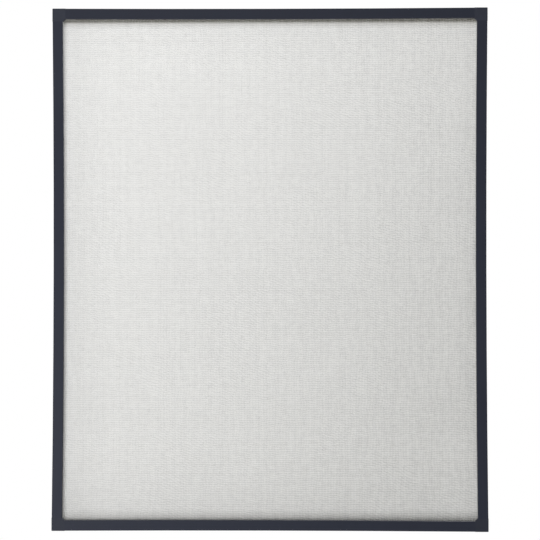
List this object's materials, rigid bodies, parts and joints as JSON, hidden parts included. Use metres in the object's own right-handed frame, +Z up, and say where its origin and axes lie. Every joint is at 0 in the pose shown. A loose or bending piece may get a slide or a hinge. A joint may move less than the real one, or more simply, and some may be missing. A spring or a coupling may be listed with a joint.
{
  "type": "window insect screen",
  "caption": "Framed insect screen for a window: coated aluminium profiles on moulded corner blocks, with a fine woven mesh held by a spline in a groove on the back.",
  "frame": {"origin": "centre of the screen, in the plane of its back, which seats on the window frame", "axes": "+X to the right seen from the front, +Y backwards into the window, +Z up"},
  "size_m": [1, 0.015, 1.2],
  "materials": {
    "coated_aluminium": "satin anthracite powder coat",
    "moulded_corner": "finely grained anthracite plastic",
    "insect_mesh": "coated glass fibre yarn, plain woven, light grey",
    "spline_cord": "soft dark grey cord, matt",
    "pile": "dense dark grey pile"
  },
  "bodies": {
    "root": {"top_rail": "coated_aluminium", "bottom_rail": "coated_aluminium", "left_stile": "coated_aluminium", "right_stile": "coated_aluminium", "corner_top_left": "moulded_corner", "corner_top_right": "moulded_corner", "corner_bottom_left": "moulded_corner", "corner_bottom_right": "moulded_corner", "mesh": "insect_mesh", "spline_top": "spline_cord", "spline_bottom": "spline_cord", "spline_left": "spline_cord", "spline_right": "spline_cord", "brush_top": "pile", "brush_bottom": "pile", "brush_left": "pile", "brush_right": "pile"}
  },
  "joints": []
}
